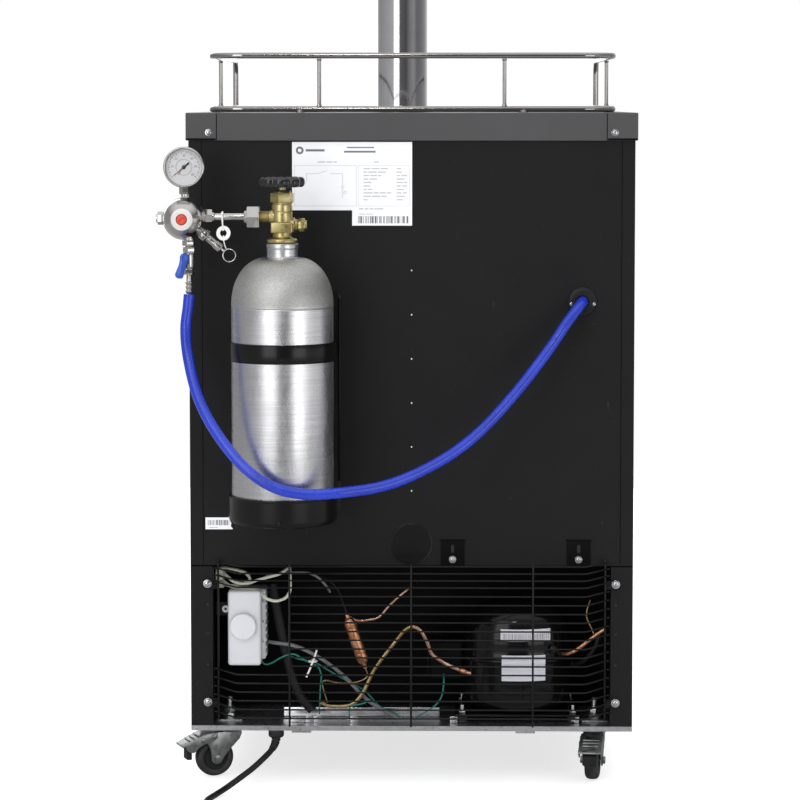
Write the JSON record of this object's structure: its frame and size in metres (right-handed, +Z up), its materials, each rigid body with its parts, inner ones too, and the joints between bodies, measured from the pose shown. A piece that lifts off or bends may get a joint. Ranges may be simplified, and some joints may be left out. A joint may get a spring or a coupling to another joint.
{
  "type": "kegerator",
  "caption": "Black freestanding keg refrigerator on casters, with a chrome beer tower, a chrome guard rail and a gas cylinder with its regulator on the back.",
  "frame": {"origin": "On the floor, under the middle of the object's bounding box without its mains cord and gas hose.", "axes": "+Z is up. The door and the faucet face -Y, and the compressor bay and gas cylinder face +Y."},
  "size_m": [0.6332, 1.02, 1.3095],
  "materials": {
    "cabinet_paint": "satin",
    "top_finish": "satin",
    "liner_plastic": "gloss",
    "chrome_trim": "polished",
    "zinc_steel": "satin",
    "cylinder_aluminium": "satin",
    "evaporator_aluminium": "satin",
    "valve_brass": "polished",
    "copper_pipe": "satin",
    "black_metal": "satin",
    "black_moulding": "gloss",
    "soft_rubber": "matte",
    "caster_rubber": "satin",
    "white_moulding": "satin",
    "blue_hose": "gloss",
    "blue_moulding": "gloss",
    "red_moulding": "satin"
  },
  "bodies": {
    "root": {"side_panel_left": "cabinet_paint", "side_panel_right": "cabinet_paint", "back_panel": "cabinet_paint", "bay_liner": "cabinet_paint", "top_panel": "top_finish", "top_rear_strip": "top_finish", "insulated_liner": "liner_plastic", "guard_rail_upper": "chrome_trim", "guard_rail_lower": "chrome_trim", "tower_column": "chrome_trim", "faucet_body": "chrome_trim", "regulator_body": "chrome_trim", "gauge_case": "chrome_trim", "shutoff_body": "chrome_trim", "base_plate": "zinc_steel", "hinge_upper": "zinc_steel", "hinge_lower": "zinc_steel", "cga_nut": "zinc_steel", "co2_cylinder": "cylinder_aluminium", "evaporator_plate": "evaporator_aluminium", "cylinder_valve": "valve_brass", "filter_dryer": "copper_pipe", "discharge_tube": "copper_pipe", "suction_tube": "copper_pipe", "rear_grille": "black_metal", "compressor": "black_metal", "cylinder_bracket": "black_metal", "bracket_strap": "black_metal", "tower_cap": "black_moulding", "hose_grommet": "soft_rubber", "strain_relief": "soft_rubber", "power_cord": "soft_rubber", "cord_coil": "soft_rubber", "power_plug": "soft_rubber", "thermostat_box": "white_moulding", "gas_hose": "blue_hose"},
    "door": {"door_shell": "cabinet_paint", "door_liner": "liner_plastic", "door_gasket": "soft_rubber", "door_handle": "chrome_trim"},
    "faucet_lever": {"faucet_lever": "chrome_trim", "tap_handle": "black_moulding"},
    "drip_tray": {"drip_tray": "black_moulding"},
    "drip_grate": {"drip_grate": "chrome_trim"},
    "valve_handwheel": {"valve_handwheel": "black_moulding"},
    "adjusting_screw": {"adjusting_screw": "red_moulding"},
    "relief_pull": {"relief_pull": "chrome_trim"},
    "shutoff_lever": {"shutoff_lever": "blue_moulding"},
    "gauge_needle": {"gauge_needle": "black_moulding"},
    "thermostat_knob": {"thermostat_knob": "white_moulding"},
    "caster_swivel_rear_left": {"caster_fork_rear_left": "zinc_steel"},
    "caster_wheel_rear_left": {"caster_wheel_rear_left": "caster_rubber"},
    "brake_pedal_rear_left": {"brake_pedal_rear_left": "zinc_steel"},
    "caster_swivel_rear_right": {"caster_fork_rear_right": "zinc_steel"},
    "caster_wheel_rear_right": {"caster_wheel_rear_right": "caster_rubber"},
    "brake_pedal_rear_right": {"brake_pedal_rear_right": "zinc_steel"},
    "caster_swivel_front_left": {"caster_fork_front_left": "zinc_steel"},
    "caster_wheel_front_left": {"caster_wheel_front_left": "caster_rubber"},
    "caster_swivel_front_right": {"caster_fork_front_right": "zinc_steel"},
    "caster_wheel_front_right": {"caster_wheel_front_right": "caster_rubber"}
  },
  "joints": [
    {"name": "door_swing", "type": "hinge", "parent": "root", "child": "door", "pos_m": [0.272, -0.3545, 0.473], "axis": [0, 0, 1], "range_deg": [0, 110]},
    {"name": "faucet_lever_tilt", "type": "hinge", "parent": "root", "child": "faucet_lever", "pos_m": [0.0023, -0.1635, 1.2], "axis": [1, 0, 0], "range_deg": [0, 35]},
    {"name": "drip_tray_lift", "type": "slide", "parent": "root", "child": "drip_tray", "axis": [0, 0, 1], "range_m": [0, 0.06]},
    {"name": "drip_grate_lift", "type": "slide", "parent": "drip_tray", "child": "drip_grate", "axis": [0, 0, 1], "range_m": [0, 0.04]},
    {"name": "valve_handwheel_turn", "type": "hinge", "parent": "root", "child": "valve_handwheel", "pos_m": [0.1525, 0.3515, 0.813], "axis": [0, 0, 1], "range_deg": [0, 720]},
    {"name": "adjusting_screw_turn", "type": "hinge", "parent": "root", "child": "adjusting_screw", "pos_m": [0.2795, 0.4015, 0.766], "axis": [0, 1, 0], "range_deg": [-1080, 0]},
    {"name": "relief_ring_pull", "type": "slide", "parent": "root", "child": "relief_pull", "axis": [-0.7659, 0, -0.6429], "range_m": [0, 0.003], "stiffness_N_per_m": 300},
    {"name": "shutoff_lever_turn", "type": "hinge", "parent": "root", "child": "shutoff_lever", "pos_m": [0.279, 0.3618, 0.715], "axis": [0, -1, 0], "range_deg": [0, 90]},
    {"name": "gauge_needle_turn", "type": "hinge", "parent": "root", "child": "gauge_needle", "pos_m": [0.2795, 0.3613, 0.8327], "axis": [0, -1, 0], "range_deg": [0, 260]},
    {"name": "thermostat_knob_turn", "type": "hinge", "parent": "root", "child": "thermostat_knob", "pos_m": [0.2119, 0.2538, 0.2114], "axis": [0, -1, 0], "range_deg": [0, 270]},
    {"name": "caster_swivel_rear_left_turn", "type": "hinge", "parent": "root", "child": "caster_swivel_rear_left", "pos_m": [0.2335, 0.2155, 0.0703], "axis": [0, 0, 1], "continuous": true},
    {"name": "caster_wheel_rear_left_spin", "type": "hinge", "parent": "caster_swivel_rear_left", "child": "caster_wheel_rear_left", "pos_m": [0.25436, 0.22393, 0.0262], "axis": [-0.3746, 0.9272, 0], "continuous": true},
    {"name": "brake_pedal_rear_left_press", "type": "hinge", "parent": "caster_swivel_rear_left", "child": "brake_pedal_rear_left", "pos_m": [0.25483, 0.22412, 0.0605], "axis": [-0.3746, 0.9272, 0], "range_deg": [0, 12]},
    {"name": "caster_swivel_rear_right_turn", "type": "hinge", "parent": "root", "child": "caster_swivel_rear_right", "pos_m": [-0.2645, 0.2155, 0.0703], "axis": [0, 0, 1], "continuous": true},
    {"name": "caster_wheel_rear_right_spin", "type": "hinge", "parent": "caster_swivel_rear_right", "child": "caster_wheel_rear_right", "pos_m": [-0.26137, 0.23778, 0.0262], "axis": [-0.9903, 0.1392, 0], "continuous": true},
    {"name": "brake_pedal_rear_right_press", "type": "hinge", "parent": "caster_swivel_rear_right", "child": "brake_pedal_rear_right", "pos_m": [-0.2613, 0.23828, 0.0605], "axis": [-0.9903, 0.1392, 0], "range_deg": [0, 12]},
    {"name": "caster_swivel_front_left_turn", "type": "hinge", "parent": "root", "child": "caster_swivel_front_left", "pos_m": [0.2335, -0.2735, 0.0703], "axis": [0, 0, 1], "continuous": true},
    {"name": "caster_wheel_front_left_spin", "type": "hinge", "parent": "caster_swivel_front_left", "child": "caster_wheel_front_left", "pos_m": [0.24475, -0.25401, 0.0262], "axis": [-0.866, 0.5, 0], "continuous": true},
    {"name": "caster_swivel_front_right_turn", "type": "hinge", "parent": "root", "child": "caster_swivel_front_right", "pos_m": [-0.2645, -0.2735, 0.0703], "axis": [0, 0, 1], "continuous": true},
    {"name": "caster_wheel_front_right_spin", "type": "hinge", "parent": "caster_swivel_front_right", "child": "caster_wheel_front_right", "pos_m": [-0.26841, -0.25134, 0.0262], "axis": [-0.9848, -0.1736, 0], "continuous": true}
  ]
}
